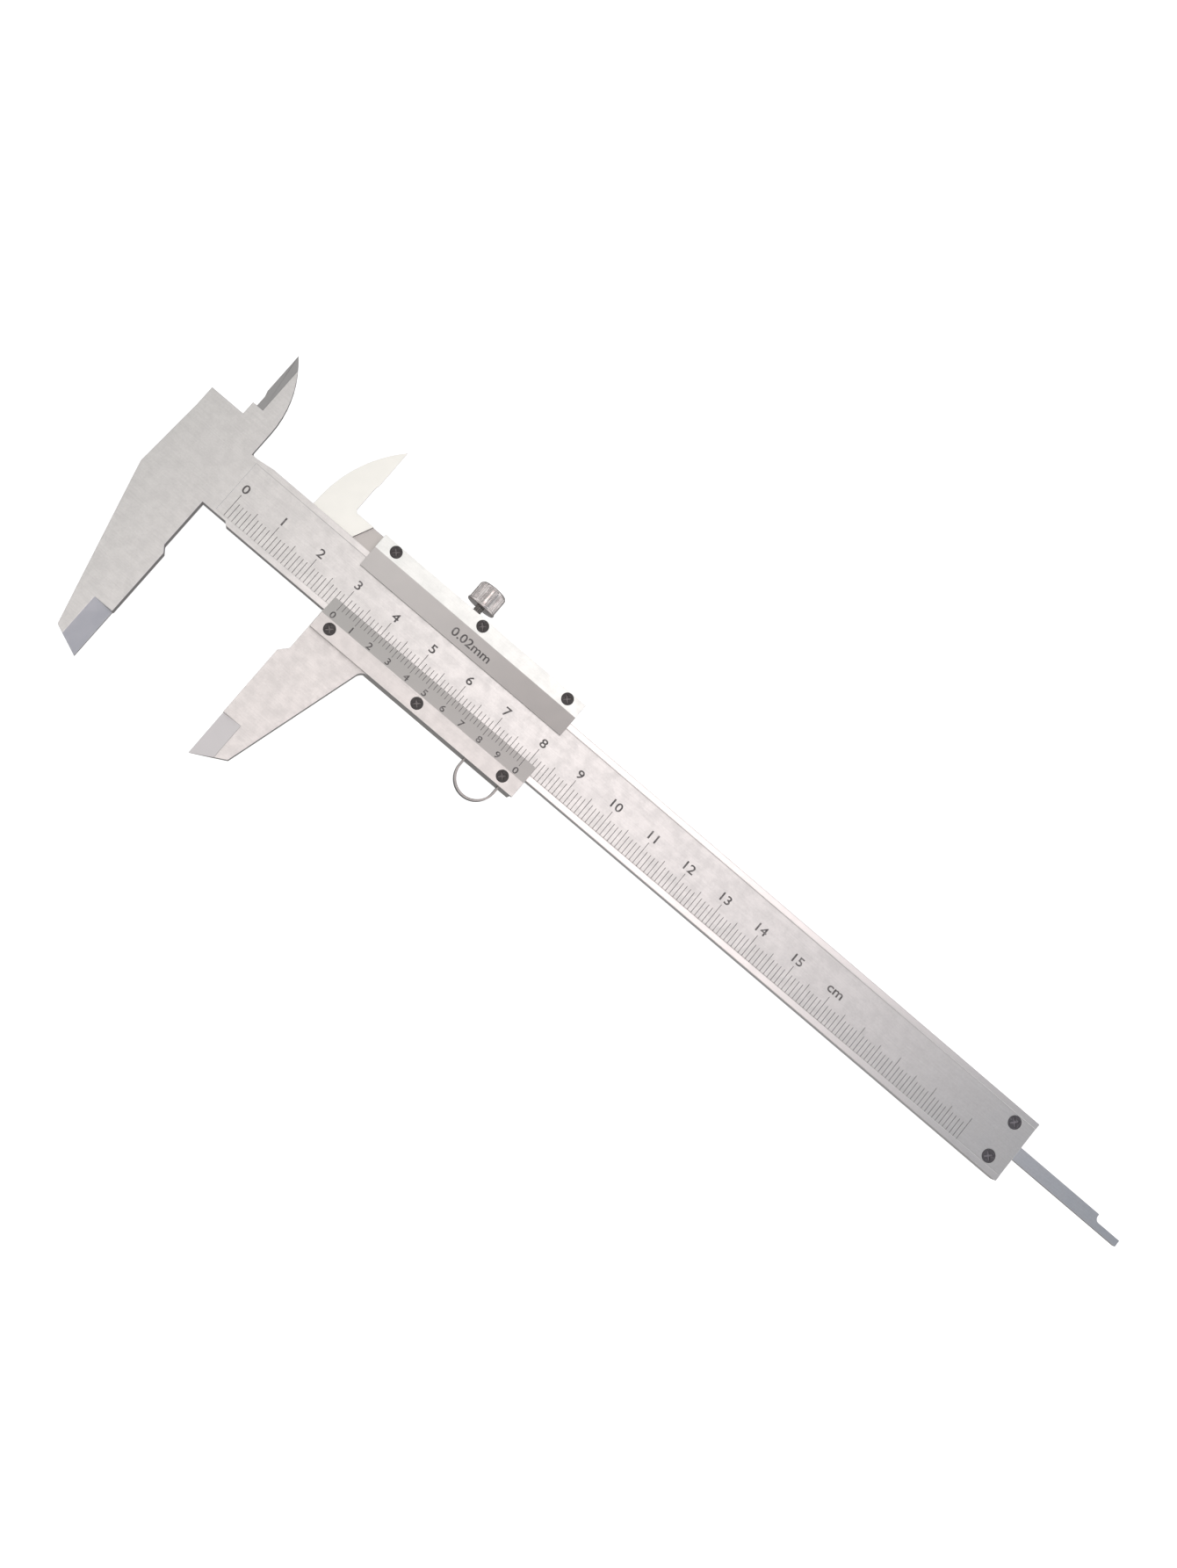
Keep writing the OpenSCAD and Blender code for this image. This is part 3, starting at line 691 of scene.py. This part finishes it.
def threaded_stem():
    """The lock screw's stem: a helical ridge round a core, which runs out at both ends."""
    radius = (STEM_HIGH.x - STEM_LOW.x) / 2
    centre = (STEM_LOW + STEM_HIGH) / 2
    length = STEM_HIGH.y - STEM_LOW.y
    rings = int(length / THREAD_PITCH * RINGS_PER_TURN)
    mesh = bmesh.new()
    loops = []
    for r in range(rings + 1):
        along = length * r / rings
        end_run = min(along, length - along)
        loop = []
        for s in range(SIDES):
            turn = 2 * math.pi * s / SIDES
            phase = (along / THREAD_PITCH - s / SIDES) % 1
            valley = abs(2 * phase - 1)
            taper = max(0, 1 - end_run / THREAD_PITCH)
            r_here = radius - THREAD_DEPTH * max(valley, taper)
            loop.append(mesh.verts.new((
                centre.x + r_here * math.cos(turn),
                STEM_LOW.y + along,
                centre.z + r_here * math.sin(turn),
            )))
        loops.append(loop)
    for low, high in zip(loops, loops[1:]):
        for s in range(SIDES):
            t = (s + 1) % SIDES
            mesh.faces.new([low[s], low[t], high[t], high[s]])
    mesh.faces.new(loops[0])
    mesh.faces.new(list(reversed(loops[-1])))
    steel = plain_steel("stem_steel", STEM_TONE, 0.35, side=STEM_SIDE_SHADE)
    piece = finish_piece("lock_screw_thread", mesh, steel, "lock_screw")
    for face in piece.data.polygons:
        face.use_smooth = True
    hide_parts("lock_screw")


# ---------------------------------------------------------------------------
# Studio: floor, light and camera
# ---------------------------------------------------------------------------
FLOOR_SIZE = 24
FLOOR_CENTRE = (0.1, 0.03)
FLOOR_GAP = 0.02 * MM

OVERHEAD_PLACE = (0.16, 0.20, 1.0)
OVERHEAD_TARGET = (0.10, 0.03, 0)
OVERHEAD_SIZE = (0.46, 0.95)
OVERHEAD_RADIANCE = 1.1
OVERHEAD_COLOUR = (1.0, 0.905, 0.90)

# The room's brightness, from 0 straight down to 1 straight up
ROOM_HEIGHTS = ((0.0, 0.24), (0.22, 0.30), (0.42, 0.7), (0.5, 1.0), (0.68, 1.0), (0.85, 0.6), (1.0, 0.5))
# The room's tint overhead, from 0 at -X to 1 at +X, and the heights between which it comes in
ROOM_TINTS = (
    (0.20, (1.0, 1.0, 0.98)),
    (0.38, (0.94, 1.0, 0.96)),
    (0.52, (1.0, 0.94, 0.93)),
    (0.60, (0.90, 0.86, 0.86)),
    (0.68, (0.11, 0.22, 0.32)),
    (0.76, (0.30, 0.36, 0.42)),
    (0.86, (0.97, 0.99, 1.0)),
)
TINT_LOW, TINT_HIGH = 0.45, 0.8

CAMERA_PLACE = Vector((64.6, -23.65, 446.85)) * MM
CAMERA_TURN = [math.radians(a) for a in (7.394, -4.096, 39.944)]
CAMERA_LENS = 49.82


def studio():
    """The floor that the tool lies on, far wider than any view."""
    floor_mesh = bmesh.new()
    bmesh.ops.create_grid(floor_mesh, x_segments=4, y_segments=4, size=FLOOR_SIZE / 2)
    data = bpy.data.meshes.new("floor")
    floor_mesh.to_mesh(data)
    floor_mesh.free()
    data.materials.append(studio_floor())
    floor = bpy.data.objects.new("floor", data)
    floor.location = (*FLOOR_CENTRE, cad_bounds[0].z - FLOOR_GAP)
    bpy.context.scene.collection.objects.link(floor)
    # Polished metal sees the dark room below it, not the lit floor
    floor.visible_glossy = False


def soft_light(name, place, target, size, strength, colour):
    """A large soft panel that faces the target. strength is its radiance."""
    light = bpy.data.lights.new(name, "AREA")
    light.shape = "RECTANGLE"
    light.size, light.size_y = size
    light.energy = strength * math.pi * size[0] * size[1]
    light.color = colour
    lamp = bpy.data.objects.new(name, light)
    lamp.location = place
    lamp.rotation_euler = (Vector(place) - Vector(target)).to_track_quat("Z", "Y").to_euler()
    bpy.context.scene.collection.objects.link(lamp)


def room_light():
    """The room: plain and pale round the horizon, dimmer below, and darker and cooler overhead to +X."""
    world = bpy.data.worlds.new("room")
    bpy.context.scene.world = world
    world.use_nodes = True
    tree = world.node_tree
    background = tree.nodes["Background"]
    coords = tree.nodes.new("ShaderNodeTexCoord")
    split = tree.nodes.new("ShaderNodeSeparateXYZ")
    tree.links.new(coords.outputs["Generated"], split.inputs[0])
    ramps = []
    for axis, stops in (("Z", ROOM_HEIGHTS), ("X", ROOM_TINTS)):
        spread = tree.nodes.new("ShaderNodeMapRange")
        spread.inputs["From Min"].default_value = -1
        tree.links.new(split.outputs[axis], spread.inputs["Value"])
        ramp = tree.nodes.new("ShaderNodeValToRGB")
        tree.links.new(spread.outputs["Result"], ramp.inputs["Fac"])
        while len(ramp.color_ramp.elements) < len(stops):
            ramp.color_ramp.elements.new(0.5)
        for element, (place, tone) in zip(ramp.color_ramp.elements, stops):
            element.position = place
            element.color = (*tone, 1) if isinstance(tone, tuple) else (tone, tone, tone, 1)
        ramps.append(ramp)
    overhead = tree.nodes.new("ShaderNodeMapRange")
    overhead.interpolation_type = "SMOOTHSTEP"
    overhead.inputs["From Min"].default_value = TINT_LOW
    overhead.inputs["From Max"].default_value = TINT_HIGH
    tree.links.new(split.outputs["Z"], overhead.inputs["Value"])
    mix = tree.nodes.new("ShaderNodeMix")
    mix.data_type = "RGBA"
    mix.blend_type = "MULTIPLY"
    brightness, tint = ramps
    tree.links.new(overhead.outputs["Result"], mix.inputs[MIX_FACTOR])
    tree.links.new(brightness.outputs["Color"], mix.inputs[MIX_FIRST])
    tree.links.new(tint.outputs["Color"], mix.inputs[MIX_SECOND])
    tree.links.new(mix.outputs[MIX_RESULT], background.inputs["Color"])


def camera():
    """Looks almost straight down, turned so that the beam falls to the lower right."""
    data = bpy.data.cameras.new("camera")
    data.lens = CAMERA_LENS
    eye = bpy.data.objects.new("camera", data)
    eye.location = CAMERA_PLACE
    eye.rotation_mode = "ZXY"
    eye.rotation_euler = Euler(CAMERA_TURN, "ZXY")
    bpy.context.scene.collection.objects.link(eye)
    bpy.context.scene.camera = eye


camera()
bpy.context.scene.view_settings.view_transform = "Standard"
room_light()
soft_light(
    "overhead", OVERHEAD_PLACE, OVERHEAD_TARGET, OVERHEAD_SIZE, OVERHEAD_RADIANCE, OVERHEAD_COLOUR
)
studio()
dress_cad_nodes()
paint_material = engraving_paint()
main_scale(paint_material)
vernier_scale(paint_material)
resolution_mark(paint_material)
threaded_stem()
